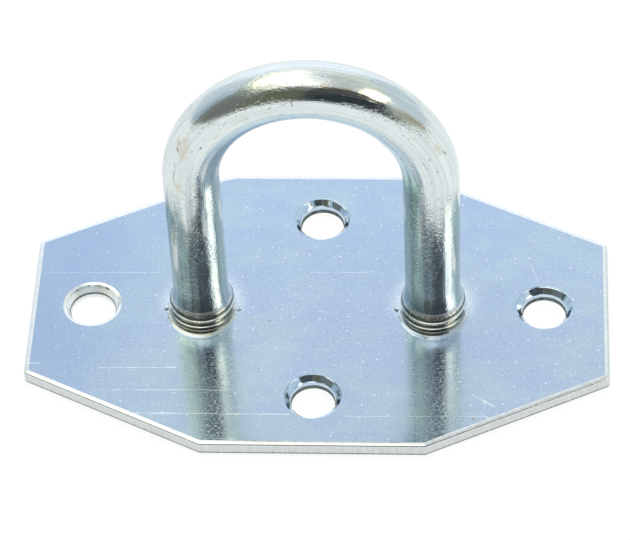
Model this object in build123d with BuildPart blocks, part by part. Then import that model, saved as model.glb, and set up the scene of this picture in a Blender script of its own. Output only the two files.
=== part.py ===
from build123d import *
import math
import os

# A D-shaped hook: one bent steel bar riveted to an eight-sided plate with four
# countersunk screw holes. Millimetres. The plate's back lies on Z = 0, the bow
# stands up along +Z, X runs along the plate and -Y is its wider, front edge.

# Plate blank
plate_length = 100.0
plate_width = 62.0
sheet = 2.5
front_edge = 38.0
back_edge = 34.3
end_edge = 30.5
end_shift = -0.4
blunt_corner = 1.2
corner_round = 0.9
edge_roll = 0.2

# The punched pattern sits a shade left of the blank's middle
pattern_x = -0.25

# Screw holes, two along X and two along Y, with the left one sunk more steeply
screw_pitch_x = 78.4
screw_pitch_y = 40.8
screw_hole_diameter = 7.6
sink_diameter = 9.9
sink_angle = 92.0
left_sink_diameter = 9.6
left_sink_angle = 60.0

# Bow: a round bar with two straight legs, a crown and gentler flanks beside it
rod_diameter = 9.5
leg_pitch = 40.0
leg_top = 34.7
flank_radius = 21.5
flank_turn = 40.0

# Upset collar at the foot of each leg
collar_diameter = 11.4
collar_foot_diameter = 10.7
collar_foot_height = 0.8
collar_bevel = 0.35
collar_straight = 1.35
collar_slope = 1.1
collar_top_bevel = 0.34
collar_root_bevel = 0.34
collar_neck = 1.6

# Turned tail of each leg, passed through the plate and riveted into its back
tail_diameter = 7.0
tail_clearance = 0.05
rivet_diameter = 9.8
rivet_depth = 1.4

# Lip of sheet metal swelled up round each collar, and a nick beside it at each side
lip_clearance = 0.06
lip_height = 0.65
lip_width = 0.5
lip_foot = 0.35
nick_side = 0.8
nick_depth = 0.4
nick_offset = 0.45
nick_forward = 0.95

# Places worked out from the values above
leg_places = [(pattern_x - leg_pitch / 2, 0), (pattern_x + leg_pitch / 2, 0)]
left_screw = (pattern_x - screw_pitch_x / 2, 0, sheet)
other_screws = [
    (pattern_x + screw_pitch_x / 2, 0, sheet),
    (pattern_x, -screw_pitch_y / 2, sheet),
    (pattern_x, screw_pitch_y / 2, sheet),
]
lip_inner = collar_foot_diameter / 2 + lip_clearance
lip_crest = lip_inner + lip_width
nick_reach = lip_crest + nick_offset
collar_base = sheet + collar_foot_height
collar_edge = collar_base + collar_bevel
collar_shoulder = collar_edge + collar_straight
collar_root = collar_shoulder + collar_slope
collar_top = collar_root + collar_neck


def leg_plane(place):
    """The upright plane through a leg's axis: local x is X, local y is Z."""
    return Plane(origin=(place[0], place[1], 0), x_dir=(1, 0, 0), z_dir=(0, -1, 0))


def leg_axis(place):
    return Axis((place[0], place[1], 0), (0, 0, 1))


# Eight-sided plate
end_low = end_shift - end_edge / 2
end_high = end_shift + end_edge / 2

with BuildPart() as base_plate:
    with BuildSketch(Plane.XY) as blank:
        with BuildLine():
            Polyline(
                (-front_edge / 2, -plate_width / 2),
                (front_edge / 2, -plate_width / 2),
                (plate_length / 2, end_low),
                (plate_length / 2, end_high),
                (back_edge / 2, plate_width / 2),
                (-back_edge / 2, plate_width / 2),
                (-plate_length / 2, end_high),
                (-plate_length / 2, end_low),
                close=True,
            )
        make_face()
        # One back corner is blunted, and the four end corners are worn round
        end_corners = blank.vertices().group_by(Axis.X)[0] + blank.vertices().group_by(Axis.X)[-1]
        back_left = blank.vertices().group_by(Axis.Y)[-1].sort_by(Axis.X)[0]
        fillet(end_corners, radius=corner_round)
        chamfer(back_left, length=blunt_corner)
    extrude(amount=sheet)

    # The punch has rolled down the upper edge of the blank
    chamfer(base_plate.faces().sort_by(Axis.Z)[-1].edges(), length=edge_roll)

    # Swelled lips round the collars: steep inside, running out over the sheet outside
    for place in leg_places:
        with BuildSketch(leg_plane(place)):
            with BuildLine():
                Polyline(
                    (lip_inner, 0),
                    (lip_inner, sheet + lip_height),
                    (lip_crest, sheet + lip_height),
                    (lip_crest + lip_foot, sheet),
                    (lip_crest + lip_foot, 0),
                    close=True,
                )
            make_face()
        revolve(axis=leg_axis(place))

    # Holes for the tails, countersunk from the back to hold their riveted ends
    for x, y in leg_places:
        with Locations(Location((x, y, 0), (180, 0, 0))):
            CounterSinkHole(
                radius=tail_diameter / 2 + tail_clearance,
                counter_sink_radius=rivet_diameter / 2,
                depth=sheet,
                counter_sink_angle=2 * math.degrees(
                    math.atan2(rivet_diameter / 2 - tail_diameter / 2, rivet_depth)
                ),
            )

    # Square nicks left by the riveting tool at both sides of each lip, a little forward
    for x, y in leg_places:
        nick_y = y - nick_forward
        with Locations((x - nick_reach, nick_y, sheet), (x + nick_reach, nick_y, sheet)):
            Box(nick_side, nick_side, 2 * nick_depth, rotation=(0, 0, 45), mode=Mode.SUBTRACT)

    # Screw holes
    with Locations(*other_screws):
        CounterSinkHole(
            radius=screw_hole_diameter / 2,
            counter_sink_radius=sink_diameter / 2,
            depth=sheet,
            counter_sink_angle=sink_angle,
        )
    with Locations(left_screw):
        CounterSinkHole(
            radius=screw_hole_diameter / 2,
            counter_sink_radius=left_sink_diameter / 2,
            depth=sheet,
            counter_sink_angle=left_sink_angle,
        )

base_plate.part.label = "base_plate"


# Bow: bar, collars, tails and riveted ends are one piece of steel
crown_turn = 180 - 2 * flank_turn
flank_reach = flank_radius * (1 - math.cos(math.radians(flank_turn)))
crown_radius = (leg_pitch / 2 - flank_reach) / math.sin(math.radians(crown_turn / 2))
left_leg, right_leg = leg_places

with BuildPart() as bow:
    with BuildLine(leg_plane((0, 0))) as bar_path:
        left_run = Line((left_leg[0], collar_top), (left_leg[0], leg_top))
        left_flank = JernArc(
            start=left_run @ 1, tangent=left_run % 1, radius=flank_radius, arc_size=-flank_turn
        )
        crown = JernArc(
            start=left_flank @ 1, tangent=left_flank % 1, radius=crown_radius, arc_size=-crown_turn
        )
        right_flank = JernArc(
            start=crown @ 1, tangent=crown % 1, radius=flank_radius, arc_size=-flank_turn
        )
        Line(right_flank @ 1, (right_leg[0], collar_top))
    with BuildSketch(Plane(origin=(left_leg[0], 0, collar_top), z_dir=(0, 0, 1))):
        Circle(rod_diameter / 2)
    sweep(path=bar_path.line)

    # Riveted end, tail, collar and neck of each leg in one turned profile
    for place in leg_places:
        with BuildSketch(leg_plane(place)) as foot:
            with BuildLine():
                Polyline(
                    (0, 0),
                    (rivet_diameter / 2, 0),
                    (tail_diameter / 2, rivet_depth),
                    (tail_diameter / 2, sheet),
                    (collar_foot_diameter / 2, sheet),
                    (collar_foot_diameter / 2, collar_base),
                    (collar_diameter / 2, collar_edge),
                    (collar_diameter / 2, collar_shoulder),
                    (rod_diameter / 2, collar_root),
                    (rod_diameter / 2, collar_top),
                    (0, collar_top),
                    close=True,
                )
            make_face()
            shoulder = foot.vertices().sort_by_distance((collar_diameter / 2, collar_shoulder))[0]
            chamfer(shoulder, length=collar_top_bevel)
            root = foot.vertices().sort_by_distance((rod_diameter / 2, collar_root))[0]
            chamfer(root, length=collar_root_bevel)
        revolve(axis=leg_axis(place))

bow.part.label = "bow"

os.makedirs("parts", exist_ok=True)
export_step(base_plate.part, "parts/base_plate.step")
export_step(bow.part, "parts/bow.step")

print("height over the crown", round(bow.part.bounding_box().max.Z, 3))
print("crown radius", round(crown_radius, 3))
print("inside width", round(leg_pitch - rod_diameter, 3))
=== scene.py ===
"""Looks of the D hook: a bright zinc bow riveted to an eight-sided zinc plate, on a white table."""

import math
from functools import partial, reduce

import bmesh
import bpy
from mathutils import Matrix, Vector
from mathutils.bvhtree import BVHTree
from mathutils.geometry import delaunay_2d_cdt


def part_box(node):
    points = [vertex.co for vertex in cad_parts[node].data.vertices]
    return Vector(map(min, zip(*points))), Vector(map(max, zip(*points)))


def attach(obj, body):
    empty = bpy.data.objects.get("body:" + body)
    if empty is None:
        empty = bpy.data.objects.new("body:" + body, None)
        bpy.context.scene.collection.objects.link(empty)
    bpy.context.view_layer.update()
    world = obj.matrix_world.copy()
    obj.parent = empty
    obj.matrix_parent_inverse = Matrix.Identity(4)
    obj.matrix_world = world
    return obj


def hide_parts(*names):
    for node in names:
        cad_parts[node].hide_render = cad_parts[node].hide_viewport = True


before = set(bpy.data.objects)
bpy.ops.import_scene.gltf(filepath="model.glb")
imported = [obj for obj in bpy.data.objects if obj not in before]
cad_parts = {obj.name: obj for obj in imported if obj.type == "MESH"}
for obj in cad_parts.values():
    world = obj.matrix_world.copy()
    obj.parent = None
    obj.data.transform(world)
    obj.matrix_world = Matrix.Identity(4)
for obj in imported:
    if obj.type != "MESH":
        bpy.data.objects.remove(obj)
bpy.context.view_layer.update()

MM = 0.001
TURN = 2 * math.pi

# Places of the plate's materials in its list
TOP_FINISH, SIDE_FINISH, ARRIS_FINISH = 0, 1, 2
HOLE_FINISHES = {
    "rim": TOP_FINISH, "arris": ARRIS_FINISH, "sink": 3, "step": 4, "land": 5, "cone": 6, "chatter": 6,
}
BAR_FINISH, RIVET_FINISH = 0, 1

# Corners of a mesh that turn by more than this are drawn sharp
SHARP_ANGLE = math.radians(38)

# Photograph's frame in pixels, and the camera found from the plate's corners and holes
PHOTO_WIDTH = 630
PHOTO_HEIGHT = 540
CAMERA_AZIMUTH = math.radians(4.722)
CAMERA_ELEVATION = math.radians(48.064)
CAMERA_ROLL = math.radians(-3.1)
CAMERA_DISTANCE = 589.98
CAMERA_ASIDE = -0.379
CAMERA_ABOVE = 7.886
CAMERA_LENS = 194.03
SENSOR = 36.0
CLIP_NEAR = 0.01
CLIP_FAR = 20.0

# Plate in millimetres, as the solids have it
plate_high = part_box("base_plate")[1]
HALF_LENGTH = plate_high.x / MM
HALF_WIDTH = plate_high.y / MM
SHEET = 2.5
FRONT_EDGE = 38.0
BACK_EDGE = 34.3
END_LOW = -15.65
END_HIGH = 14.85
BLUNT_CORNER = 1.2
BLUNT_ALONG = 0.9
BLUNT_ACROSS = 0.45

# Edge of the sheet as (inset, depth below the face): rolled down by the punch, then sheared
EDGE_ROLL = [(0.85, 0.0), (0.6, 0.014), (0.4, 0.044), (0.24, 0.09), (0.12, 0.155), (0.04, 0.25), (0.0, 0.4)]
EDGE_SIDE = [(0.0, 1.2), (0.02, 1.9), (0.04, 2.3), (0.09, 2.42), (0.16, 2.5)]
EDGE_STEP = 2.0
END_CORNER_ROUND = 0.9
END_CORNER_BEYOND = 45.0
SMALL_CORNER_ROUND = 0.4
CORNER_LEAST = 0.05
CORNER_STEPS = 6

# Flat faces are filled up to the rims of the holes, to this share of their radius
FILL_MERGE = 1e-7
FILL_LIMIT = 0.995

# Holes: where they are, and how a chattering tool has cut the wide countersinks into flats
PATTERN_X = -0.25
SCREW_PITCH_X = 78.4
SCREW_PITCH_Y = 40.8
HOLE_SIDES = 160
CHATTER_COUNT = 40
CHATTER_DEPTH = 0.13
CHATTER_MIX = 12.9898

# Screw holes as (radius, height, finish below that row) from the sheet's face down to its back
CONE_SINK = [
    (5.0, 2.5, "rim"), (4.93, 2.49, "rim"), (4.87, 2.46, "rim"), (4.82, 2.41, "cone"),
    (4.77, 2.35, "chatter"), (4.6, 2.17, "chatter"), (4.4, 1.96, "chatter"), (4.2, 1.75, "chatter"),
    (4.0, 1.54, "chatter"), (3.95, 1.45, "cone"), (3.91, 1.3, "cone"), (3.87, 1.0, "cone"),
    (3.85, 0.86, "step"), (3.76, 0.45, "step"), (3.7, 0.16, "land"), (3.74, 0.1, "land"), (3.8, 0.03, "land"),
    (3.88, 0.0, None),
]
STEEP_SINK = [
    (5.12, 2.5, "arris"), (5.06, 2.49, "arris"), (4.9, 2.46, "arris"), (4.72, 2.42, "arris"),
    (4.58, 2.39, "sink"), (4.42, 1.95, "sink"), (4.24, 1.47, "sink"), (4.07, 1.02, "sink"),
    (4.04, 0.96, "step"), (3.93, 0.8, "land"), (3.86, 0.68, "land"), (3.8, 0.5, "land"), (3.8, 0.12, "land"),
    (3.83, 0.03, "land"), (3.9, 0.0, None),
]

# Hole of a tail, countersunk from the back
TAIL_HOLE_RADIUS = 3.55
RIVET_RADIUS = 4.9
RIVET_DEPTH = 1.4
RIVET_BEVEL = 0.1

# Bow: straight legs, gentle flanks and a tighter crown between them
BAR_RADIUS = 4.75
LEG_PITCH = 40.0
LEG_TOP = 34.7
FLANK_RADIUS = 21.5
FLANK_TURN = math.radians(40)
BAR_SIDES = 128
BAR_STEP = 0.55
FINDER_SIDES = 64
FINDER_SKIP = 2
LEFT_LEG = PATTERN_X - LEG_PITCH / 2
RIGHT_LEG = PATTERN_X + LEG_PITCH / 2

# Foot of a leg as (radius, height): riveted end and tail, then the collar's bead, ledge, bulge and flare
TAIL_ROWS = [
    (4.4, 0.0), (4.78, 0.03), (4.84, 0.12), (3.5, 1.4), (3.5, 2.44), (3.56, 2.5), (5.22, 2.5), (5.34, 2.56),
]
COLLAR_ROWS = [
    (5.33, 2.7), (5.33, 3.3), (5.39, 3.56), (5.52, 3.74), (5.6, 3.92), (5.62, 4.06), (5.61, 4.18),
    (5.5, 4.26), (5.4, 4.32), (5.42, 4.44), (5.49, 4.62), (5.53, 4.8), (5.52, 4.98), (5.46, 5.12),
    (5.37, 5.24), (5.26, 5.36), (5.16, 5.48), (5.08, 5.64), (5.03, 5.88), (4.98, 6.2), (4.93, 6.6),
    (4.87, 7.2), (4.81, 8.0), (4.77, 8.8), (4.75, 9.6),
]
COLLAR_STEPS = 4
RIVET_DISH = 0.04

# Fine rings left by the tool on the collar's upper part, and the heights where they fade in and out
TOOL_RIPPLE = 0.018
TOOL_PITCH = 0.3
TOOL_LOW = 4.9
TOOL_HIGH = 6.4
TOOL_FADE = 0.4

# Swelled lip round a collar, with a low terrace in front of it, from the collar outwards: (radius in front,
# radius elsewhere, height in front)
LIP_ROWS = [
    (5.38, 5.38, 0.0), (5.38, 5.38, 0.56), (5.39, 5.39, 0.66), (5.43, 5.42, 0.73), (5.48, 5.46, 0.76),
    (5.56, 5.51, 0.775), (5.66, 5.57, 0.775), (5.77, 5.63, 0.76), (5.86, 5.69, 0.73), (5.93, 5.73, 0.66),
    (5.97, 5.76, 0.56), (6.0, 5.79, 0.45), (6.025, 5.81, 0.34), (6.045, 5.83, 0.24), (6.06, 5.845, 0.213),
    (6.2, 5.87, 0.21), (6.5, 5.93, 0.212), (6.85, 6.0, 0.212), (6.97, 6.04, 0.2), (7.1, 6.1, 0.17),
    (7.22, 6.15, 0.13), (7.34, 6.2, 0.09), (7.46, 6.26, 0.05), (7.56, 6.32, 0.02), (7.66, 6.38, 0.005),
    (7.76, 6.45, 0.0),
]
LIP_LEAST = 0.15
LIP_REACH_POWER = 2
LIP_HEIGHT_POWER = 1.2
LIP_FOOT_ROW = 14
LIP_SIDES = 192

# Nicks of the riveting tool at both sides of a lip and the metal pushed up beside them, as (radius, angle)
NICKS = [(6.4, math.radians(-9.5)), (6.4, math.radians(189))]
NICK_SIZE = 0.32
NICK_DEPTH = 0.34
MOUNDS = [(6.75, math.radians(-16)), (7.1, math.radians(191))]
MOUND_SIZE = 0.5
MOUND_HEIGHT = 0.09


def photo_axes():
    """The camera's right, up and backward directions and its place, in millimetres."""
    level = math.cos(CAMERA_ELEVATION)
    back = Vector((
        math.sin(CAMERA_AZIMUTH) * level, -math.cos(CAMERA_AZIMUTH) * level, math.sin(CAMERA_ELEVATION)
    ))
    right = Vector((math.cos(CAMERA_AZIMUTH), math.sin(CAMERA_AZIMUTH), 0))
    up = back.cross(right)
    place = right * CAMERA_ASIDE + up * CAMERA_ABOVE + back * CAMERA_DISTANCE
    turned_right = right * math.cos(CAMERA_ROLL) + up * math.sin(CAMERA_ROLL)
    turned_up = up * math.cos(CAMERA_ROLL) - right * math.sin(CAMERA_ROLL)
    return turned_right, turned_up, back, place


def make_camera():
    """Places the camera as the photograph was taken, with no shift."""
    right, up, back, place = photo_axes()
    data = bpy.data.cameras.new("photo_camera")
    data.sensor_width = SENSOR
    data.lens = CAMERA_LENS
    data.clip_start = CLIP_NEAR
    data.clip_end = CLIP_FAR
    camera = bpy.data.objects.new("photo_camera", data)
    axes = Matrix((right, up, back)).transposed().to_4x4()
    camera.matrix_world = Matrix.Translation(place * MM) @ axes
    bpy.context.scene.collection.objects.link(camera)
    bpy.context.scene.camera = camera


def pixel_ray(px, py):
    """Where a ray through a pixel of the photograph starts and goes, in millimetres."""
    right, up, back, place = photo_axes()
    focal = CAMERA_LENS / SENSOR * PHOTO_WIDTH
    aim = right * (px - PHOTO_WIDTH / 2) - up * (py - PHOTO_HEIGHT / 2) - back * focal
    return place, aim.normalized()


class Shape:
    """Points and faces gathered ring by ring, in millimetres."""

    def __init__(self):
        self.points = []
        self.notes = []
        self.faces = []
        self.finishes = []
        self.creases = set()

    def ring(self, points, notes=None):
        """Adds a closed ring of points and gives their numbers."""
        first = len(self.points)
        self.points.extend(points)
        self.notes.extend(notes or [Vector((0, 0, 0))] * len(points))
        return list(range(first, len(self.points)))

    def face(self, corners, finish):
        self.faces.append(corners)
        self.finishes.append(finish)

    def bridge(self, lower, upper, finish=0):
        """Joins two rings that have as many points."""
        count = len(lower)
        for i in range(count):
            j = (i + 1) % count
            self.face((lower[i], lower[j], upper[j], upper[i]), finish)

    def stack(self, rings, finish=0):
        for lower, upper in zip(rings, rings[1:]):
            self.bridge(lower, upper, finish)

    def close(self, ring, middle, finish=0):
        """Fills a ring with a fan round its middle point."""
        centre = self.ring([middle], [self.notes[ring[0]]])[0]
        for i, corner in enumerate(ring):
            self.face((corner, ring[(i + 1) % len(ring)], centre), finish)

    def crease(self, ring):
        """Keeps the shading on both sides of a ring apart."""
        for i, corner in enumerate(ring):
            self.creases.add(frozenset((corner, ring[(i + 1) % len(ring)])))

    def sheet(self, outer, holes, finish=0):
        """Fills the flat face between an outer ring and the rings of the holes in it."""
        rings = [outer] + holes
        numbers = [i for ring in rings for i in ring]
        place = {number: k for k, number in enumerate(numbers)}
        flat = [self.points[i].to_2d() for i in numbers]
        edges = [(place[r[i]], place[r[(i + 1) % len(r)]]) for r in rings for i in range(len(r))]
        middles = [sum((self.points[i].to_2d() for i in r), Vector((0, 0))) / len(r) for r in holes]
        reaches = [(self.points[r[0]].to_2d() - m).length for r, m in zip(holes, middles)]
        filled = delaunay_2d_cdt(flat, edges, [], 0, FILL_MERGE)
        for triangle in filled[2]:
            corners = [numbers[filled[3][i][0]] for i in triangle]
            middle = sum((self.points[i].to_2d() for i in corners), Vector((0, 0))) / 3
            if all((middle - m).length > reach * FILL_LIMIT for m, reach in zip(middles, reaches)):
                self.face(tuple(corners), finish)

    def piece(self, name, materials, slot, note_name=None):
        """Makes the mesh object in the row frame, smooth but for its creases and sharp corners."""
        mesh = bpy.data.meshes.new(name)
        mesh.from_pydata([p * MM for p in self.points], [], self.faces)
        for polygon, finish in zip(mesh.polygons, self.finishes):
            polygon.material_index = finish
            polygon.use_smooth = True
        for material in materials:
            mesh.materials.append(material)
        if note_name:
            notes = mesh.attributes.new(note_name, "FLOAT_VECTOR", "POINT")
            notes.data.foreach_set("vector", [x for note in self.notes for x in note])
        turn_outward(mesh)
        mesh.set_sharp_from_angle(angle=SHARP_ANGLE)
        for edge in mesh.edges:
            if frozenset(edge.vertices) in self.creases:
                edge.use_edge_sharp = True
        piece = bpy.data.objects.new(name, mesh)
        bpy.context.scene.collection.objects.link(piece)
        return piece


def turn_outward(mesh):
    """Turns all faces outward, as the shells are closed."""
    work = bmesh.new()
    work.from_mesh(mesh)
    bmesh.ops.recalc_face_normals(work, faces=work.faces)
    work.to_mesh(mesh)
    work.free()


def circle(centre, radius, height, count):
    """A level ring; radius and height may be functions of the angle."""
    points = []
    for i in range(count):
        angle = TURN * i / count
        r = radius(angle) if callable(radius) else radius
        z = height(angle) if callable(height) else height
        points.append(Vector((centre[0] + r * math.cos(angle), centre[1] + r * math.sin(angle), z)))
    return points


def curve_rows(rows, steps):
    """More rows along a smooth curve through the given (radius, height) rows."""
    curved = []
    for i in range(len(rows) - 1):
        a, b = rows[max(i - 1, 0)], rows[i]
        c, d = rows[i + 1], rows[min(i + 2, len(rows) - 1)]
        for k in range(steps):
            t = k / steps
            curved.append(tuple(
                0.5 * (2 * b[n] + (c[n] - a[n]) * t + (2 * a[n] - 5 * b[n] + 4 * c[n] - d[n]) * t ** 2
                       + (3 * b[n] - a[n] - 3 * c[n] + d[n]) * t ** 3)
                for n in (0, 1)
            ))
    return curved + [rows[-1]]


def plate_corners():
    """The eight corners of the plate and the blunted one, anticlockwise from the front left."""
    return [
        (-FRONT_EDGE / 2, -HALF_WIDTH),
        (FRONT_EDGE / 2, -HALF_WIDTH),
        (HALF_LENGTH, END_LOW),
        (HALF_LENGTH, END_HIGH),
        (BACK_EDGE / 2, HALF_WIDTH),
        (-BACK_EDGE / 2 + BLUNT_CORNER, HALF_WIDTH),
        (-BACK_EDGE / 2 - BLUNT_CORNER * BLUNT_ALONG, HALF_WIDTH - BLUNT_CORNER * BLUNT_ACROSS),
        (-HALF_LENGTH, END_HIGH),
        (-HALF_LENGTH, END_LOW),
    ]


def corner_arc(corner, before, after, radius):
    """Points of a rounded corner between the lines that meet there."""
    into = (corner - before).normalized()
    out = (after - corner).normalized()
    turn = -into.angle_signed(out)
    reach = radius * math.tan(abs(turn) / 2)
    middle = corner - into * reach + Vector((-into.y, into.x)) * radius
    start = math.atan2(-into.x, into.y)
    angles = [start + turn * k / CORNER_STEPS for k in range(CORNER_STEPS + 1)]
    return [middle + Vector((math.cos(a), math.sin(a))) * radius for a in angles]


def outline(inset, height):
    """The plate's outline drawn in by an inset, with points every couple of millimetres."""
    corners = [Vector(c) for c in plate_corners()]
    count = len(corners)
    lines = []
    for i in range(count):
        along = (corners[(i + 1) % count] - corners[i]).normalized()
        inward = Vector((-along.y, along.x))
        lines.append((corners[i] + inward * inset, along))
    drawn = []
    for i in range(count):
        (p, u), (q, v) = lines[i - 1], lines[i]
        reach = (q - p).cross(v) / u.cross(v)
        drawn.append(p + u * reach)
    rounded = []
    for i in range(count):
        radius = END_CORNER_ROUND if abs(corners[i].x) > END_CORNER_BEYOND else SMALL_CORNER_ROUND
        radius = max(radius - inset, CORNER_LEAST)
        rounded.append(corner_arc(drawn[i], drawn[i - 1], drawn[(i + 1) % count], radius))
    points = []
    for i in range(count):
        a, b = rounded[i][-1], rounded[(i + 1) % count][0]
        pieces = max(1, round((corners[(i + 1) % count] - corners[i]).length / EDGE_STEP))
        flat = rounded[i][:-1] + [a + (b - a) * k / pieces for k in range(pieces)]
        points += [Vector((p.x, p.y, height)) for p in flat]
    return points


def add_plate_edge(shape):
    """Rolled upper edge and sheared side with a small bevel below; gives the top and bottom rings."""
    rolled = [shape.ring(outline(inset, SHEET - depth)) for inset, depth in EDGE_ROLL]
    side = [shape.ring(outline(inset, SHEET - depth)) for inset, depth in EDGE_SIDE]
    shape.stack(rolled, ARRIS_FINISH)
    shape.stack([rolled[-1]] + side, SIDE_FINISH)
    shape.crease(rolled[0])
    shape.crease(rolled[-1])
    shape.crease(side[-1])
    return rolled[0], side[-1]


def chattered(centre, radius, angle):
    """Radius of a countersink at an angle, cut to uneven flats by a chattering tool."""
    turn = angle / TURN * CHATTER_COUNT
    first = math.floor(turn)
    own = centre[0] + 2 * centre[1]
    offsets = [math.sin(CHATTER_MIX * ((first + k) % CHATTER_COUNT) + own) for k in (0, 1)]
    return radius + CHATTER_DEPTH * (offsets[0] + (offsets[1] - offsets[0]) * (turn - first))


def add_screw_hole(shape, centre, rows):
    """Countersunk screw hole turned from its rows; gives the top and bottom rings."""
    rings = []
    for radius, height, kind in rows:
        reach = partial(chattered, centre, radius) if kind == "chatter" else radius
        rings.append(shape.ring(circle(centre, reach, height, HOLE_SIDES)))
    for upper, lower, row in zip(rings, rings[1:], rows):
        kind = row[2]
        shape.bridge(upper, lower, HOLE_FINISHES[kind])
        if kind == "chatter":
            for i in range(0, HOLE_SIDES, HOLE_SIDES // CHATTER_COUNT):
                shape.creases.add(frozenset((upper[i], lower[i])))
    for ring, above, below in zip(rings[1:], rows, rows[1:]):
        if above[2] != below[2]:
            shape.crease(ring)
    shape.crease(rings[0])
    return rings[0], rings[-1]


def dimple(radius, angle, spots, size):
    """Sum of bell-shaped spots, given as (radius, angle) round the leg."""
    total = 0.0
    for spot_radius, spot_angle in spots:
        square = radius ** 2 + spot_radius ** 2 - 2 * radius * spot_radius * math.cos(angle - spot_angle)
        total += math.exp(-square / size ** 2)
    return total


def lip_ring(x, row):
    """One ring of the lip, wider and higher in front, nicked and pushed up where the riveting tool bit."""
    front_radius, radius, rise = row
    points = []
    for i in range(LIP_SIDES):
        angle = TURN * i / LIP_SIDES
        front = max(0.0, -math.sin(angle))
        reach = radius + (front_radius - radius) * front ** LIP_REACH_POWER
        height = rise * (LIP_LEAST + (1 - LIP_LEAST) * front ** LIP_HEIGHT_POWER)
        if row not in (LIP_ROWS[0], LIP_ROWS[-1]):
            height -= NICK_DEPTH * dimple(reach, angle, NICKS, NICK_SIZE)
            height += MOUND_HEIGHT * dimple(reach, angle, MOUNDS, MOUND_SIZE)
        points.append(Vector((x + reach * math.cos(angle), reach * math.sin(angle), SHEET + height)))
    return points


def add_tail_hole(shape, x):
    """Hole for a riveted tail, and the lip round the collar above it; gives the top and bottom rings."""
    centre = (x, 0.0)
    rows = [
        (RIVET_RADIUS + RIVET_BEVEL, 0.0), (RIVET_RADIUS, RIVET_BEVEL / 2), (TAIL_HOLE_RADIUS, RIVET_DEPTH),
        (TAIL_HOLE_RADIUS, SHEET),
    ]
    rings = [shape.ring(circle(centre, radius, height, LIP_SIDES)) for radius, height in rows]
    rings += [shape.ring(lip_ring(x, row)) for row in LIP_ROWS]
    shape.stack(rings, TOP_FINISH)
    shape.crease(rings[0])
    shape.crease(rings[len(rows) + LIP_FOOT_ROW])
    shape.crease(rings[-1])
    return rings[-1], rings[0]


def make_plate(materials):
    """The whole plate as one closed mesh."""
    shape = Shape()
    top_outer, bottom_outer = add_plate_edge(shape)
    holes = [
        add_screw_hole(shape, (PATTERN_X - SCREW_PITCH_X / 2, 0), STEEP_SINK),
        add_screw_hole(shape, (PATTERN_X + SCREW_PITCH_X / 2, 0), CONE_SINK),
        add_screw_hole(shape, (PATTERN_X, -SCREW_PITCH_Y / 2), CONE_SINK),
        add_screw_hole(shape, (PATTERN_X, SCREW_PITCH_Y / 2), CONE_SINK),
        add_tail_hole(shape, LEFT_LEG),
        add_tail_hole(shape, RIGHT_LEG),
    ]
    shape.sheet(top_outer, [top for top, bottom in holes], TOP_FINISH)
    shape.sheet(bottom_outer, [bottom for top, bottom in holes], TOP_FINISH)
    plate = shape.piece("plate_sheet", materials, "zinc_sheet")
    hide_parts("base_plate")
    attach(plate, "root")


def foot_rows():
    """Rows of a foot from the riveted end up to the straight leg, with the tool's ripple on the collar."""
    rows = list(TAIL_ROWS)
    for radius, height in curve_rows(COLLAR_ROWS, COLLAR_STEPS):
        fade = max(0.0, min(1.0, (height - TOOL_LOW) / TOOL_FADE, (TOOL_HIGH - height) / TOOL_FADE))
        rows.append((radius + TOOL_RIPPLE * fade * math.sin(TURN * height / TOOL_PITCH), height))
    return rows


def bar_stations():
    """Rings along the bow: (x, z, tilt of the bar, radius, distance along it)."""
    crown_turn = math.pi - 2 * FLANK_TURN
    flank_reach = FLANK_RADIUS * (1 - math.cos(FLANK_TURN))
    crown_radius = (LEG_PITCH / 2 - flank_reach) / math.sin(crown_turn / 2)
    feet = foot_rows()
    stations = [(LEFT_LEG, height, 0.0, radius, height) for radius, height in feet]
    last = feet[-1][1]
    count = round((LEG_TOP - last) / BAR_STEP)
    for k in range(1, count + 1):
        height = last + (LEG_TOP - last) * k / count
        stations.append((LEFT_LEG, height, 0.0, BAR_RADIUS, height))
    x, z, tilt, run = LEFT_LEG, LEG_TOP, 0.0, LEG_TOP
    for radius, turn in ((FLANK_RADIUS, FLANK_TURN), (crown_radius, crown_turn), (FLANK_RADIUS, FLANK_TURN)):
        steps = round(radius * turn / BAR_STEP)
        middle_x = x + radius * math.cos(tilt)
        middle_z = z - radius * math.sin(tilt)
        start = tilt
        for k in range(1, steps + 1):
            tilt = start + turn * k / steps
            x = middle_x - radius * math.cos(tilt)
            z = middle_z + radius * math.sin(tilt)
            stations.append((x, z, tilt, BAR_RADIUS, run + radius * turn * k / steps))
        run += radius * turn
    for k in range(1, count + 1):
        height = LEG_TOP - (LEG_TOP - last) * k / count
        stations.append((RIGHT_LEG, height, math.pi, BAR_RADIUS, run + LEG_TOP - height))
    for radius, height in reversed(feet[:-1]):
        stations.append((RIGHT_LEG, height, math.pi, radius, run + LEG_TOP - height))
    return stations


def bar_ring(station, sides):
    """The ring of points at a station of the bow, and where each lies on the straightened bar."""
    x, z, tilt, radius, run = station
    outward = Vector((-math.cos(tilt), 0, math.sin(tilt)))
    points, notes = [], []
    for i in range(sides):
        angle = TURN * i / sides
        across, aside = radius * math.cos(angle), radius * math.sin(angle)
        points.append(Vector((x, 0, z)) + outward * across + Vector((0, aside, 0)))
        notes.append(Vector((across, aside, run)))
    return points, notes


def make_bow(materials):
    """The bow as one closed mesh; its points also note where they lie on the straightened bar."""
    shape = Shape()
    rings = [shape.ring(*bar_ring(station, BAR_SIDES)) for station in bar_stations()]
    shape.stack(rings, BAR_FINISH)
    shape.close(rings[0], Vector((LEFT_LEG, 0, RIVET_DISH)), RIVET_FINISH)
    shape.close(rings[-1], Vector((RIGHT_LEG, 0, RIVET_DISH)), RIVET_FINISH)
    bow = shape.piece("bow_bar", materials, "zinc_bar", "bar_place")
    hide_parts("bow")
    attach(bow, "root")


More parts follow.
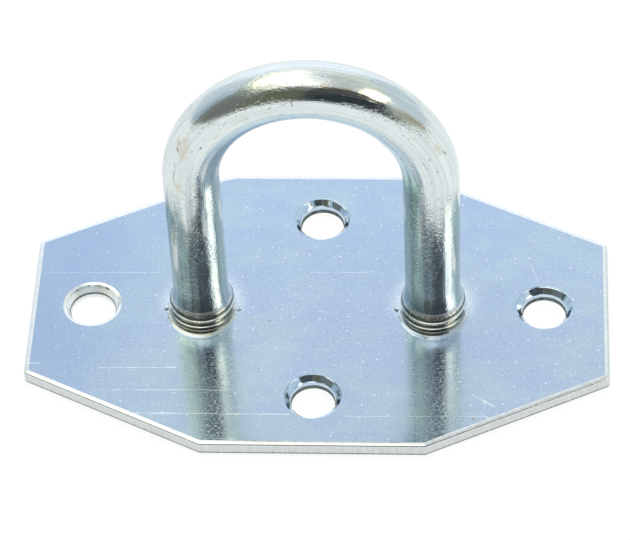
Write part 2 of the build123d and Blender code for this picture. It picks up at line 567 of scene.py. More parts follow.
class Nodes:
    """Writes shader nodes in few words; each call gives the socket that carries its result."""

    def __init__(self, tree):
        self.tree = tree
        tree.nodes.clear()

    def add(self, kind, **settings):
        node = self.tree.nodes.new(kind)
        for name, value in settings.items():
            setattr(node, name, value)
        return node

    def feed(self, socket, value):
        if isinstance(value, bpy.types.NodeSocket):
            self.tree.links.new(value, socket)
        elif value is not None:
            socket.default_value = value

    def math(self, operation, a, b=0.0, clamp=False):
        node = self.add("ShaderNodeMath", operation=operation, use_clamp=clamp)
        self.feed(node.inputs[0], a)
        self.feed(node.inputs[1], b)
        return node.outputs[0]

    def times(self, a, b):
        return self.math("MULTIPLY", a, b)

    def plus(self, a, b):
        return self.math("ADD", a, b)

    def vector(self, operation, a, b=(0.0, 0.0, 0.0)):
        node = self.add("ShaderNodeVectorMath", operation=operation)
        self.feed(node.inputs[0], a)
        if operation == "SCALE":
            self.feed(node.inputs["Scale"], b)
        else:
            self.feed(node.inputs[1], b)
        return node.outputs["Value" if operation in ("DOT_PRODUCT", "LENGTH") else "Vector"]

    def distance(self, place, point):
        return self.vector("LENGTH", self.vector("SUBTRACT", place, point))

    def split(self, vector):
        node = self.add("ShaderNodeSeparateXYZ")
        self.feed(node.inputs[0], vector)
        return node.outputs[0], node.outputs[1], node.outputs[2]

    def ramp(self, value, low, high, start=0.0, end=1.0):
        """Goes smoothly from start to end as the value goes from low to high."""
        node = self.add("ShaderNodeMapRange", interpolation_type="SMOOTHSTEP")
        for socket, number in zip(node.inputs, (value, low, high, start, end)):
            self.feed(socket, number)
        return node.outputs[0]

    def between(self, value, rise, fall):
        """One between two soft borders, each given as its (start, end), and nothing outside."""
        return self.times(self.ramp(value, *rise), self.ramp(value, *fall, 1.0, 0.0))

    def mix(self, share, a, b):
        """Mixes two colours."""
        node = self.add("ShaderNodeMix", data_type="RGBA")
        self.feed(node.inputs["Factor"], share)
        colours = [s for s in node.inputs if s.type == "RGBA"]
        for socket, colour in zip(colours, (a, b)):
            self.feed(socket, colour if isinstance(colour, bpy.types.NodeSocket) else (*colour, 1.0))
        return [s for s in node.outputs if s.type == "RGBA"][0]

    def noise(self, place, scale, detail=2.0, roughness=0.5):
        """Noise over a place in millimetres; scale is the count of waves in a millimetre along X, Y and Z."""
        node = self.add("ShaderNodeTexNoise")
        self.feed(node.inputs["Vector"], self.vector("MULTIPLY", place, scale))
        self.feed(node.inputs["Scale"], 1.0)
        self.feed(node.inputs["Detail"], detail)
        self.feed(node.inputs["Roughness"], roughness)
        return node.outputs["Fac"]

    def specks(self, place, spacing, size, share, dimensions="2D"):
        """Small specks of uneven size, in a share of the cells of a loose grid."""
        node = self.add("ShaderNodeTexVoronoi", feature="F1", voronoi_dimensions=dimensions)
        self.feed(node.inputs["Vector"], self.vector("SCALE", place, 1.0 / spacing))
        self.feed(node.inputs["Scale"], 1.0)
        pick, width = self.split(node.outputs["Color"])[:2]
        picked = self.math("GREATER_THAN", share, pick)
        reach = self.times(self.ramp(width, 0.0, 1.0, 0.35, 1.0), size / spacing)
        near = self.ramp(self.math("DIVIDE", node.outputs["Distance"], reach), 0.3, 1.0, 1.0, 0.0)
        return self.times(near, picked)

    def stroke(self, place, start, end, width, soft=0.5):
        """One along the line between two points, falling to nothing at a width, from a share of it on."""
        line = end - start
        away = self.vector("SUBTRACT", place, start)
        along = self.vector("DOT_PRODUCT", away, line / line.length_squared)
        share = self.math("ADD", along, 0.0, clamp=True)
        off = self.vector("SUBTRACT", away, self.vector("SCALE", line, share))
        return self.ramp(self.vector("LENGTH", off), width * soft, width, 1.0, 0.0)

    def most(self, masks):
        """The greatest of several masks."""
        return reduce(partial(self.math, "MAXIMUM"), masks)

    def bump(self, height, distance, strength, normal=None):
        node = self.add("ShaderNodeBump")
        self.feed(node.inputs["Strength"], strength)
        self.feed(node.inputs["Distance"], distance)
        self.feed(node.inputs["Height"], height)
        self.feed(node.inputs["Normal"], normal)
        return node.outputs[0]

    def metal(self, colour, roughness, normal):
        """Ends the material in a bare metal surface."""
        shader = self.add("ShaderNodeBsdfPrincipled")
        shader.inputs["Metallic"].default_value = 1.0
        self.feed(shader.inputs["Base Color"], colour)
        self.feed(shader.inputs["Roughness"], roughness)
        self.feed(shader.inputs["Normal"], normal)
        output = self.add("ShaderNodeOutputMaterial")
        self.tree.links.new(shader.outputs[0], output.inputs[0])


def new_material(name):
    material = bpy.data.materials.new(name)
    material.use_nodes = True
    return material, Nodes(material.node_tree)


def place_in_mm(nodes):
    """The point being shaded, in the row frame, in millimetres."""
    where = nodes.add("ShaderNodeTexCoord").outputs["Object"]
    return nodes.vector("SCALE", where, 1 / MM)


def on_plate(px, py, height=SHEET):
    """The point under a pixel of the photograph at a height, which is the plate's face unless given."""
    start, aim = pixel_ray(px, py)
    return start + aim * ((height - start.z) / aim.z)


class BarFinder:
    """Finds the point of the bow under a pixel of the photograph, on a coarser copy of its skin."""

    def __init__(self):
        shape = Shape()
        stations = bar_stations()[::FINDER_SKIP]
        shape.stack([shape.ring(bar_ring(station, FINDER_SIDES)[0]) for station in stations], BAR_FINISH)
        self.tree = BVHTree.FromPolygons(shape.points, shape.faces)

    def __call__(self, px, py):
        start, aim = pixel_ray(px, py)
        hit = self.tree.ray_cast(start, aim)[0]
        if hit is None:
            raise ValueError(f"the bow isn't under pixel {px}, {py}")
        return hit


# Long thin scratches on the plate, as pixels of the photograph from end to end and a width in millimetres
PLATE_SCRATCHES = [
    (99, 367.6, 176, 367.4, 0.1), (99, 389.7, 223, 390.0, 0.09), (128, 413, 289, 414.2, 0.14),
    (45, 272.7, 160, 272.5, 0.05), (310, 272.7, 370, 272.5, 0.05), (344, 416.2, 488, 416.6, 0.05),
    (473, 395, 484, 401, 0.15), (484, 401, 495, 407, 0.2), (531, 265, 538, 281, 0.08),
    (29, 363.5, 39, 363, 0.14), (318, 311, 336, 314, 0.06),
]

# Spots on the plate, as a pixel of the photograph and a width in millimetres
PLATE_TAN_SPOTS = [(269, 321, 0.35), (473, 419, 0.4), (560, 400, 0.35)]
# Nicks of the lips, where shade is painted
NICK_SPOTS = [(238.4, 310.0, 0.4), (166.3, 309.0, 0.46), (395.8, 310.0, 0.42), (234.5, 310.5, 0.22)]

# Painted shade in the countersinks: pixels of the photograph from end to end, height and width in millimetres
SINK_SHADES = [
    (299, 228, 303, 233.5, 2.0, 0.6), (345.5, 225, 341.5, 232, 1.65, 0.6), (286, 394, 288, 397, 2.0, 0.45),
    (338, 392, 339, 396, 2.0, 0.45), (338.5, 400, 335, 409, 1.9, 0.55), (520, 317, 522, 321, 2.2, 0.5),
    (566, 314, 563, 321, 1.2, 0.7),
]
STEEP_SHADES = [
    (118.6, 304, 117, 311, 2.1, 0.5), (71, 309, 73, 315, 1.6, 0.6), (106.5, 288.2, 107.5, 288.6, 2.3, 0.42),
    (98.5, 286, 99.5, 286, 2.33, 0.28), (88, 286, 89.5, 286, 2.33, 0.28), (77, 290, 77.5, 290, 2.29, 0.25),
]

# Marks on the bow, as pixels of the photograph from end to end and a width in millimetres
BAR_TAN = [
    (179, 143, 183, 156, 1.3), (185, 141, 186, 150, 1.2), (176, 184, 180, 191, 0.9),
    (436, 147, 440, 152, 0.9), (235, 123, 248, 119, 0.35), (213, 139, 219, 135, 0.3),
    (404, 114, 424, 128, 0.8), (380, 99, 402, 112, 0.6), (322, 86, 350, 90, 0.7),
]
BAR_PITS = [
    (177, 148, 178, 151, 0.25), (178.5, 144, 180, 142, 0.2), (200, 149, 201, 147, 0.2),
    (430, 159, 430.5, 159.5, 0.2), (437, 172.5, 438.5, 172, 0.22), (444, 152, 446, 154, 0.25),
    (455, 216, 455.5, 216.5, 0.16), (245, 116, 246, 118, 0.16),
]
BAR_STREAKS = [
    (174, 171, 173, 180, 0.14), (175, 163, 174.5, 168, 0.12), (182, 160, 180, 173, 0.08),
    (422, 162, 428, 170, 0.12), (413, 96, 420, 103, 0.22), (434, 114, 438, 121, 0.18),
    (269, 110, 271, 106, 0.12), (292, 106, 291, 101, 0.22), (283, 106, 286, 103, 0.14),
    (416, 190, 417, 206, 0.2), (417, 130, 421, 136, 0.12), (411, 117, 424, 129, 0.1),
]

# Colours of the zinc on the plate, as linear red, green and blue
SHEET_BLUE = (0.47, 0.59, 0.79)
SHEET_GREEN = (0.52, 0.66, 0.76)
SHEET_CLOUD = (0.42, 0.54, 0.72)
SHEET_MOTTLE = (0.62, 0.74, 0.86)
# Painted shade that darkens the left end of the plate
SHEET_LEFT_SHADE = (0.34, 0.46, 0.7)
SHEET_TAN = (0.45, 0.38, 0.3)
SHEET_SCRAPED = (0.88, 0.94, 0.98)
HALO_PALE = (0.86, 0.93, 0.98)
# Painted light on the lips: a highlight on the outer arc, a dark reflection on the terrace, a highlight on
# the crest
ARC_HIGHLIGHT = (0.66, 0.64, 0.55)
TERRACE_SHADE = (0.3, 0.32, 0.27)
CREST_HIGHLIGHT = (0.95, 0.95, 0.9)
# Painted shade in the nicks of the riveting tool
NICK_SHADE = (0.08, 0.09, 0.08)
SIDE_DULL = (0.72, 0.73, 0.69)
SIDE_PALE = (0.88, 0.89, 0.86)
SIDE_PURPLE = (0.78, 0.74, 0.76)
# Painted shade along the foot of the cut side, for the contact shadow it mirrors
SIDE_SHADE_COLOUR = (0.16, 0.17, 0.17)
SINK_YELLOW = (0.74, 0.76, 0.66)
SINK_PALE = (0.82, 0.87, 0.88)
# Painted shade in the countersinks
SINK_SHADE_COLOUR = (0.09, 0.11, 0.11)
CONE_SHADE_COLOUR = (0.1, 0.13, 0.15)

# Zinc of the plate's small parts: the two colours it wanders between, and its roughness
ARRIS_ZINC = ((0.8, 0.82, 0.8), (0.9, 0.91, 0.89), 0.16)
# The step is painted dark: painted shade for the dark it mirrors
STEP_SHADE_ZINC = ((0.07, 0.09, 0.09), (0.2, 0.23, 0.22), 0.35)
# The land is made near white to stay bright where it mirrors the shaded floor in the hole: painted light
LAND_LIGHTENED_ZINC = ((0.9, 0.9, 0.9), (0.96, 0.96, 0.96), 0.3)
CONE_ZINC = ((0.55, 0.67, 0.8), (0.66, 0.76, 0.84), 0.1)

# Soft borders of the tints on the plate, as (start, end): heights on the lips of the painted highlight on the
# arc, the painted dark reflection on the terrace and the painted highlight on the crest, reach of the pale
# zone round a collar from a point a little behind its axis, its front and its lower side, the painted shade
# at the left end, and the heights of the painted shade along the side's foot
ARC_HEIGHTS = (SHEET + 0.03, SHEET + 0.09)
ARC_FADE = (-10.0, 10.0)
TERRACE_HEIGHTS = (SHEET + 0.185, SHEET + 0.21)
CREST_HEIGHTS = (SHEET + 0.4, SHEET + 0.6)
HALO_REACH = (5.8, 8.6)
HALO_BACK = 0.6
HALO_FRONT = (-3.6, -0.6)
HALO_LOW = (1.0, 2.0)
LEFT_SHADE_SPAN = (-52.0, -20.0)
SIDE_SHADE_HEIGHTS = (0.5, 0.72)

# Colours of the zinc on the bow
BAR_DULL = (0.71, 0.75, 0.72)
BAR_PALE = (0.85, 0.88, 0.84)
# Streaks darkened only on the legs' left sides: real drawn streaks with painted shade
BAR_DRAWN_AND_SHADE = (0.3, 0.33, 0.31)
BAR_STAIN = (0.66, 0.55, 0.4)
BAR_DARK = (0.2, 0.22, 0.22)
# Painted shade on the right leg's left side
BAR_SHADED = (0.45, 0.55, 0.54)
BULGE_DARK = (0.14, 0.15, 0.13)
FLARE_PALE = (0.95, 0.93, 0.92)
END_DULL = (0.62, 0.65, 0.66)
END_PALE = (0.76, 0.78, 0.77)

# Soft borders of the tints on the bow: streaks darkened, as real drawn streaks with painted shade, on the
# left leg's left side and on the right leg up to its front, how they fade upwards, the painted shade on the
# right leg's left side, and the collars' dark bulge and pale flare
STREAK_SHADE_LEFT = (LEFT_LEG + 1.0, LEFT_LEG + 2.0)
STREAK_SHADE_RIGHT = (10.0, 12.0)
STREAK_SHADE_FRONT = (RIGHT_LEG - 0.5, RIGHT_LEG + 2.0)
STREAK_SHADE_FADE = (28.0, 40.0)
SHADED_SPAN = ((14.0, 15.0), (16.9, 18.2))
SHADED_FADE = (36.0, 44.0)
BULGE_SPAN = ((4.4, 4.5), (5.2, 5.35))
FLARE_SPAN = ((5.3, 5.45), (5.95, 6.3))

# Depths of the fine relief in millimetres
SHEET_RELIEF = 0.006
SIDE_RELIEF = 0.02
SINK_RELIEF = 0.01
SMALL_RELIEF = 0.006
BAR_RELIEF = 0.035
BAR_WAVES = 0.05
END_RELIEF = 0.12


def dots(nodes, place, spots, soft):
    """One on the given spots of the plate, nothing beside them."""
    return nodes.most([
        nodes.stroke(place, on_plate(px, py), on_plate(px + 1, py), size, soft) for px, py, size in spots
    ])


def painted_shade_spots(nodes, place, shades):
    """One on the given spots of painted shade in the countersinks, nothing beside them."""
    return nodes.most([
        nodes.stroke(place, on_plate(x0, y0, height), on_plate(x1, y1, height), width)
        for x0, y0, x1, y1, height, width in shades
    ])


def tint_and_light_lips(nodes, place, mottle, colour):
    """Tints the metal round the collars with a pale zone, and paints light on the lips: a highlight on the
    arc, a dark reflection on the terrace, a highlight on the crest, and shade in the nicks.
    """
    x, y, z = nodes.split(place)
    halo = nodes.most([
        nodes.ramp(nodes.distance(place, (leg, HALO_BACK, SHEET)), *HALO_REACH, 1.0, 0.0)
        for leg in (LEFT_LEG, RIGHT_LEG)
    ])
    halo = nodes.times(halo, nodes.ramp(y, *HALO_FRONT))
    halo = nodes.times(halo, nodes.ramp(z, *HALO_LOW))
    halo = nodes.times(halo, nodes.ramp(mottle, 0.25, 0.6, 0.25, 0.9))
    colour = nodes.mix(nodes.times(halo, 0.7), colour, HALO_PALE)
    # Painted highlight on the arc, painted dark reflection on the terrace, painted highlight on the crest
    arc = nodes.times(nodes.ramp(z, *ARC_HEIGHTS), nodes.ramp(x, *ARC_FADE, 0.8, 0.4))
    colour = nodes.mix(arc, colour, ARC_HIGHLIGHT)
    colour = nodes.mix(nodes.times(nodes.ramp(z, *TERRACE_HEIGHTS), 0.85), colour, TERRACE_SHADE)
    colour = nodes.mix(nodes.ramp(z, *CREST_HEIGHTS), colour, CREST_HIGHLIGHT)
    # Painted shade in the nicks
    return nodes.mix(nodes.times(dots(nodes, place, NICK_SPOTS, 0.4), 0.85), colour, NICK_SHADE)


def zinc_sheet():
    """Bluish bright zinc on rolled sheet: mirror-like, with fine grain, cloudy patches and flecks."""
    material, nodes = new_material("zinc_sheet_face")
    place = place_in_mm(nodes)
    clouds = nodes.noise(place, (0.05, 0.09, 0.08), 4.0, 0.6)
    tint = nodes.noise(nodes.vector("ADD", place, (40.0, 9.0, 3.0)), (0.1, 0.16, 0.1), 3.0, 0.6)
    mottle = nodes.noise(place, (2.0, 2.4, 2.4), 3.0, 0.65)
    grain = nodes.noise(place, (0.2, 4.0, 4.0), 3.0, 0.6)
    worn = nodes.noise(place, (0.3, 0.9, 0.9), 2.0, 0.6)
    flecks = nodes.most([
        nodes.specks(place, 2.4, 0.3, 0.4),
        nodes.specks(nodes.vector("ADD", place, (31.0, 17.0, 5.0)), 1.1, 0.17, 0.4),
    ])
    scratches = nodes.most([
        nodes.stroke(place, on_plate(x0, y0), on_plate(x1, y1), width)
        for x0, y0, x1, y1, width in PLATE_SCRATCHES
    ])
    scratches = nodes.times(scratches, nodes.ramp(worn, 0.35, 0.6, 0.3, 1.0))
    scraped = nodes.math("MAXIMUM", nodes.times(flecks, 0.7), scratches)
    tan = dots(nodes, place, PLATE_TAN_SPOTS, 0.1)
    colour = nodes.mix(nodes.ramp(tint, 0.35, 0.65), SHEET_BLUE, SHEET_GREEN)
    colour = nodes.mix(nodes.times(nodes.ramp(clouds, 0.3, 0.7), 0.4), colour, SHEET_CLOUD)
    colour = nodes.mix(nodes.times(nodes.ramp(mottle, 0.4, 0.75), 0.4), colour, SHEET_MOTTLE)
    colour = nodes.mix(nodes.times(tan, 0.7), colour, SHEET_TAN)
    colour = nodes.mix(scraped, colour, SHEET_SCRAPED)
    # The lips get painted highlights and a painted dark reflection, and the nicks get painted shade
    colour = tint_and_light_lips(nodes, place, mottle, colour)
    # Painted shade: the left end of the plate darkened
    left_shade = nodes.ramp(nodes.split(place)[0], *LEFT_SHADE_SPAN, 0.55, 0.0)
    colour = nodes.mix(left_shade, colour, SHEET_LEFT_SHADE)
    haze = nodes.math("MAXIMUM", nodes.ramp(mottle, 0.36, 0.68), scraped)
    roughness = nodes.ramp(haze, 0.0, 1.0, 0.09, 0.24)
    height = nodes.plus(nodes.times(grain, 0.5), nodes.times(mottle, 0.12))
    height = nodes.math("SUBTRACT", height, nodes.times(scraped, 0.8))
    nodes.metal(colour, roughness, nodes.bump(height, SHEET_RELIEF * MM, 1.0))
    return material


def sheared_side():
    """Cut edge of the sheet: paler, duller and streaked from top to bottom, with painted shade along its
    foot.
    """
    material, nodes = new_material("zinc_sheet_side")
    place = place_in_mm(nodes)
    streaks = nodes.noise(place, (2.6, 2.6, 0.4), 3.0, 0.6)
    patches = nodes.noise(place, (0.22, 0.22, 0.5), 2.0)
    ragged = nodes.plus(nodes.split(place)[2], nodes.times(streaks, 0.35))
    # Painted shade along the foot of the side
    foot = nodes.times(nodes.ramp(ragged, *SIDE_SHADE_HEIGHTS, 1.0, 0.0), 0.85)
    colour = nodes.mix(nodes.ramp(streaks, 0.3, 0.75), SIDE_DULL, SIDE_PALE)
    colour = nodes.mix(nodes.ramp(patches, 0.4, 0.7, 0.0, 0.5), colour, SIDE_PURPLE)
    colour = nodes.mix(foot, colour, SIDE_SHADE_COLOUR)
    roughness = nodes.ramp(streaks, 0.3, 0.7, 0.4, 0.52)
    nodes.metal(colour, roughness, nodes.bump(streaks, SIDE_RELIEF * MM, 0.7))
    return material


def sink_wall():
    """Cut wall of the steep countersink: bright and a little yellow, with rings and painted shade."""
    material, nodes = new_material("zinc_sheet_sink")
    place = place_in_mm(nodes)
    rings = nodes.noise(place, (0.6, 0.6, 6.0), 2.0)
    patches = nodes.noise(place, (0.7, 0.7, 0.7), 2.0)
    colour = nodes.mix(nodes.ramp(patches, 0.35, 0.65), SINK_YELLOW, SINK_PALE)
    # Painted shade on the steep countersink's wall
    colour = nodes.mix(nodes.times(painted_shade_spots(nodes, place, STEEP_SHADES), 0.85), colour, SINK_SHADE_COLOUR)
    nodes.metal(colour, 0.1, nodes.bump(rings, SINK_RELIEF * MM, 0.6))
    return material


def plain_zinc(name, low, high, roughness, shades=()):
    """Small parts of the plate: zinc that wanders between two colours, with painted shade where it is given
    any.
    """
    material, nodes = new_material(name)
    place = place_in_mm(nodes)
    patches = nodes.noise(place, (1.2, 1.2, 1.2), 3.0, 0.6)
    colour = nodes.mix(nodes.ramp(patches, 0.35, 0.65), low, high)
    if shades:
        # Painted shade on the spots given
        colour = nodes.mix(nodes.times(painted_shade_spots(nodes, place, shades), 0.85), colour, CONE_SHADE_COLOUR)
    uneven = nodes.ramp(patches, 0.3, 0.7, roughness, roughness * 1.4)
    nodes.metal(colour, uneven, nodes.bump(patches, SMALL_RELIEF * MM, 0.8))
    return material


def plate_materials():
    """The plate's materials in the order of its finishes."""
    return [
        zinc_sheet(),
        sheared_side(),
        plain_zinc("zinc_sheet_arris", *ARRIS_ZINC),
        sink_wall(),
        # Painted shade on the step
        plain_zinc("zinc_sheet_step", *STEP_SHADE_ZINC),
        # Painted light on the land
        plain_zinc("zinc_sheet_land", *LAND_LIGHTENED_ZINC),
        plain_zinc("zinc_sheet_cone", *CONE_ZINC, SINK_SHADES),
    ]


def streak_and_shade_legs(nodes, place, bar, colour):
    """Darkens the legs in long streaks, from their left sides to their fronts: the streaks are real, their
    one-sided darkness is painted shade.
    """
    x, _, z = nodes.split(place)
    drawn = nodes.ramp(nodes.noise(bar, (1.0, 1.0, 0.03), 3.0, 0.7), 0.44, 0.6)
    left = nodes.ramp(x, *STREAK_SHADE_LEFT, 1.0, 0.0)
    right = nodes.times(nodes.ramp(x, *STREAK_SHADE_RIGHT), nodes.ramp(x, *STREAK_SHADE_FRONT, 0.7, 0.0))
    # Painted shade: the streaks are laid dark only on the legs' left sides
    sides = nodes.times(nodes.most([left, right]), nodes.ramp(z, *STREAK_SHADE_FADE, 0.52, 0.15))
    return nodes.mix(nodes.times(drawn, sides), colour, BAR_DRAWN_AND_SHADE)


def shade_right_leg(nodes, place, colour):
    """Paints shade on the left side of the right leg up to its bend."""
    x, _, z = nodes.split(place)
    shaded = nodes.times(nodes.between(x, *SHADED_SPAN), nodes.ramp(z, *SHADED_FADE, 0.85, 0.0))
    return nodes.mix(shaded, colour, BAR_SHADED)


def tint_foot(nodes, place, speckle, colour):
    """Darkens the bulge of the collars and pales the flare over it; gives the flare's mask too."""
    wander = nodes.times(nodes.math("SUBTRACT", speckle, 0.5), 0.5)
    uneven = nodes.plus(nodes.split(place)[2], wander)
    bulge = nodes.between(uneven, *BULGE_SPAN)
    flare = nodes.between(uneven, *FLARE_SPAN)
    colour = nodes.mix(nodes.times(bulge, 0.8), colour, BULGE_DARK)
    return nodes.mix(nodes.times(flare, 0.6), colour, FLARE_PALE), flare


def zinc_bar(find):
    """Bright zinc on drawn bar: streaked along its length, speckled, with tan stains and dark nicks."""
    material, nodes = new_material("zinc_bar_face")
    place = place_in_mm(nodes)
    bar = nodes.add("ShaderNodeAttribute", attribute_name="bar_place").outputs["Vector"]
    wander = nodes.add("ShaderNodeTexNoise")
    nodes.feed(wander.inputs["Vector"], place)
    nodes.feed(wander.inputs["Scale"], 1.6)
    drift = nodes.vector("SUBTRACT", wander.outputs["Color"], (0.5, 0.5, 0.5))
    streaks = nodes.noise(bar, (1.9, 1.9, 0.07), 4.0, 0.65)
    speckle = nodes.noise(bar, (2.8, 2.8, 1.7), 2.0, 0.6)
    peel = nodes.ramp(nodes.noise(bar, (0.3, 0.3, 0.09), 2.0), 0.42, 0.6, 0.12, 1.0)
    waves = nodes.noise(bar, (0.35, 0.35, 0.12), 2.0)

    def marks(rows, ragged, soft):
        """One on the given marks, with borders as ragged as told, and nothing beside them."""
        where = nodes.vector("ADD", place, nodes.vector("SCALE", drift, ragged))
        return nodes.most([
            nodes.stroke(where, find(x0, y0), find(x1, y1), width, soft) for x0, y0, x1, y1, width in rows
        ])

    tan = marks(BAR_TAN, 0.9, 0.0)
    pits = marks(BAR_PITS, 0.9, 0.5)
    scars = marks(BAR_STREAKS, 0.35, 0.2)
    specks = nodes.specks(nodes.vector("MULTIPLY", bar, (1.0, 1.0, 0.5)), 1.1, 0.2, 0.5, "3D")
    frost = nodes.specks(nodes.vector("MULTIPLY", bar, (1.0, 1.0, 0.6)), 0.5, 0.22, 0.7, "3D")
    colour = nodes.mix(nodes.ramp(streaks, 0.35, 0.7), BAR_DULL, BAR_PALE)
    # Real streaks with painted shade on the legs' left sides
    colour = streak_and_shade_legs(nodes, place, bar, colour)
    colour = nodes.mix(nodes.times(tan, 0.55), colour, BAR_STAIN)
    dark = nodes.most([nodes.times(pits, 0.75), nodes.times(scars, 0.6), nodes.times(specks, 0.4)])
    colour = nodes.mix(dark, colour, BAR_DARK)
    # Painted shade on the right leg's left side
    colour = shade_right_leg(nodes, place, colour)
    colour, flare = tint_foot(nodes, place, speckle, colour)
    roughness = nodes.ramp(nodes.plus(speckle, nodes.times(dark, 0.3)), 0.35, 0.8, 0.1, 0.22)
    roughness = nodes.plus(roughness, nodes.times(flare, 0.16))
    roughness = nodes.plus(roughness, nodes.times(nodes.times(frost, peel), 0.45))
    height = nodes.plus(nodes.times(streaks, 0.9), nodes.times(speckle, nodes.times(peel, 1.6)))
    height = nodes.math("SUBTRACT", height, nodes.times(dark, 0.4))
    fine = nodes.bump(height, BAR_RELIEF * MM, 1.0)
    nodes.metal(colour, roughness, nodes.bump(waves, BAR_WAVES * MM, 1.0, fine))
    return material


def rivet_end():
    """Hammered end of a tail on the plate's back."""
    material, nodes = new_material("zinc_bar_end")
    dents = nodes.noise(place_in_mm(nodes), (0.8, 0.8, 0.8), 2.0)
    colour = nodes.mix(nodes.ramp(dents, 0.3, 0.7), END_DULL, END_PALE)
    nodes.metal(colour, 0.3, nodes.bump(dents, END_RELIEF * MM, 1.0))
    return material


# The room as soft zones of light, each over the ones before it: span of azimuth from the front towards +X,
# span of elevation, softness of both, all in degrees, and colour
WHITE = (1.0, 1.0, 1.0)
ROOM = (0.66, 0.75, 0.86)
ZONES = [
    ((-200, -138), (-30, 44), (14, 6), (1.02, 1.1, 1.23)),
    ((146, 200), (-30, 44), (14, 6), (1.02, 1.1, 1.23)),
    ((-200, -150), (44, 48.5), (12, 3), (0.94, 1.0, 1.07)),
    ((148, 200), (44, 48.5), (12, 3), (0.94, 1.0, 1.07)),
    ((-200, -150), (48.5, 60), (12, 3), (0.9, 0.91, 0.9)),
    ((148, 200), (48.5, 60), (12, 3), (0.9, 0.91, 0.9)),
    ((-104, -78), (-30, 34), (12, 8), (0.43, 0.54, 0.64)),
    ((56, 150), (-30, 36), (10, 10), (0.66, 0.77, 0.86)),
    ((56, 150), (36, 60), (10, 10), (0.74, 0.81, 0.74)),
    ((-152, -98), (41, 56), (12, 6), (0.47, 0.56, 0.56)),
    ((-98, -60), (40, 56), (8, 6), (0.36, 0.42, 0.38)),
    ((-60, -30), (40, 55), (8, 6), (0.47, 0.52, 0.45)),
    ((-84, -28), (-30, 41), (9, 7), (0.19, 0.205, 0.195)),
    ((-36, -3), (-30, 51), (8, 7), (0.14, 0.145, 0.1)),
    ((-5, 56), (-30, 37), (5, 8), (0.03, 0.04, 0.05)),
    ((-3, 54), (35, 56), (8, 6), (0.08, 0.08, 0.075)),
    ((44, 84), (-30, 20), (8, 8), (0.45, 0.48, 0.42)),
    ((-200, -18), (57, 100), (14, 6), (1.5, 1.48, 1.4)),
    ((-24, 22), (57, 100), (14, 7), (1.5, 1.48, 1.4)),
    ((18, 100), (66, 100), (14, 8), (1.25, 1.25, 1.2)),
    ((44, 150), (52, 76), (12, 8), (0.6, 0.65, 0.66)),
    ((-150, -60), (49.3, 57), (10, 1.6), (1.6, 1.6, 1.25)),
    ((-60, -36), (49.3, 57), (8, 1.6), (0.8, 0.86, 0.66)),
    ((57, 89), (33.5, 49.1), (5, 1.4), (3.6, 3.1, 2.4)),
]


def window(nodes, value, span, soft):
    """One inside a span and nothing outside, with soft ends."""
    rise, fall = [(edge - soft / 2, edge + soft / 2) for edge in span]
    return nodes.between(value, rise, fall)


def make_room():
    """The world: a bright ceiling, a dark side behind the camera, a strip light and pale walls."""
    world = bpy.data.worlds.new("studio")
    world.use_nodes = True
    bpy.context.scene.world = world
    nodes = Nodes(world.node_tree)
    aim = nodes.vector("NORMALIZE", nodes.add("ShaderNodeTexCoord").outputs["Generated"])
    x, y, z = nodes.split(aim)
    azimuth = nodes.math("DEGREES", nodes.math("ARCTAN2", x, nodes.times(y, -1.0)))
    elevation = nodes.math("DEGREES", nodes.math("ARCSINE", z))
    colour = ROOM
    for azimuths, elevations, soft, light in ZONES:
        across = window(nodes, azimuth, azimuths, soft[0])
        upward = window(nodes, elevation, elevations, soft[1])
        colour = nodes.mix(nodes.times(across, upward), colour, light)
    seen = nodes.add("ShaderNodeLightPath").outputs["Is Camera Ray"]
    colour = nodes.mix(seen, colour, WHITE)
    background = nodes.add("ShaderNodeBackground")
    nodes.feed(background.inputs["Color"], colour)
    output = nodes.add("ShaderNodeOutputWorld")
    world.node_tree.links.new(background.outputs[0], output.inputs[0])


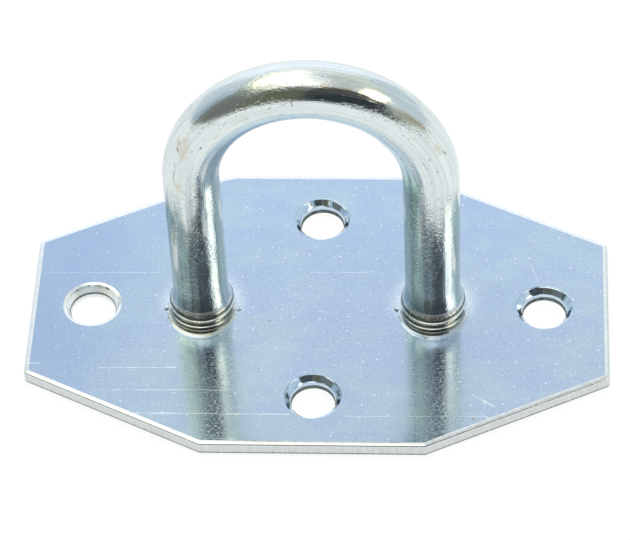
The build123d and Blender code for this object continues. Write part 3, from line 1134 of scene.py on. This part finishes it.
# White table: half its side and its drop below the plate in metres, the share and strength of its own glow
# where it is seen, the tint of the glow in mirrors, and the colour of the paper
FLOOR_HALF = 3.0
FLOOR_DROP = 0.00003
FLOOR_GLOW = 0.8
FLOOR_STRENGTH = 1.085
FLOOR_MIRRORED = (0.9, 0.95, 1.0)
FLOOR_PAPER = (0.95, 0.95, 0.95, 1.0)


def make_floor():
    """White table that keeps a soft shadow; from below it lets the view through."""
    mesh = bpy.data.meshes.new("white_table")
    corners = [(-1, -1), (1, -1), (1, 1), (-1, 1)]
    points = [(x * FLOOR_HALF, y * FLOOR_HALF, -FLOOR_DROP) for x, y in corners]
    mesh.from_pydata(points, [], [(0, 1, 2, 3)])
    floor = bpy.data.objects.new("white_table", mesh)
    bpy.context.scene.collection.objects.link(floor)
    material, nodes = new_material("white_table")
    path = nodes.add("ShaderNodeLightPath")
    glow = nodes.add("ShaderNodeEmission")
    nodes.feed(glow.inputs["Color"], nodes.mix(path.outputs["Is Camera Ray"], FLOOR_MIRRORED, WHITE))
    glow.inputs["Strength"].default_value = FLOOR_STRENGTH
    paper = nodes.add("ShaderNodeBsdfDiffuse")
    paper.inputs["Color"].default_value = FLOOR_PAPER
    seen = nodes.math("MAXIMUM", path.outputs["Is Camera Ray"], path.outputs["Is Glossy Ray"])
    seen = nodes.math("MAXIMUM", seen, path.outputs["Is Transmission Ray"])
    blend = nodes.add("ShaderNodeMixShader")
    nodes.feed(blend.inputs[0], nodes.times(seen, FLOOR_GLOW))
    nodes.feed(blend.inputs[1], paper.outputs[0])
    nodes.feed(blend.inputs[2], glow.outputs[0])
    clear = nodes.add("ShaderNodeBsdfTransparent")
    below = nodes.add("ShaderNodeMixShader")
    nodes.feed(below.inputs[0], nodes.add("ShaderNodeNewGeometry").outputs["Backfacing"])
    nodes.feed(below.inputs[1], blend.outputs[0])
    nodes.feed(below.inputs[2], clear.outputs[0])
    output = nodes.add("ShaderNodeOutputMaterial")
    nodes.feed(output.inputs[0], below.outputs[0])
    mesh.materials.append(material)


make_camera()
make_room()
make_floor()
make_plate(plate_materials())
make_bow([zinc_bar(BarFinder()), rivet_end()])
bpy.context.scene.view_settings.view_transform = "Standard"
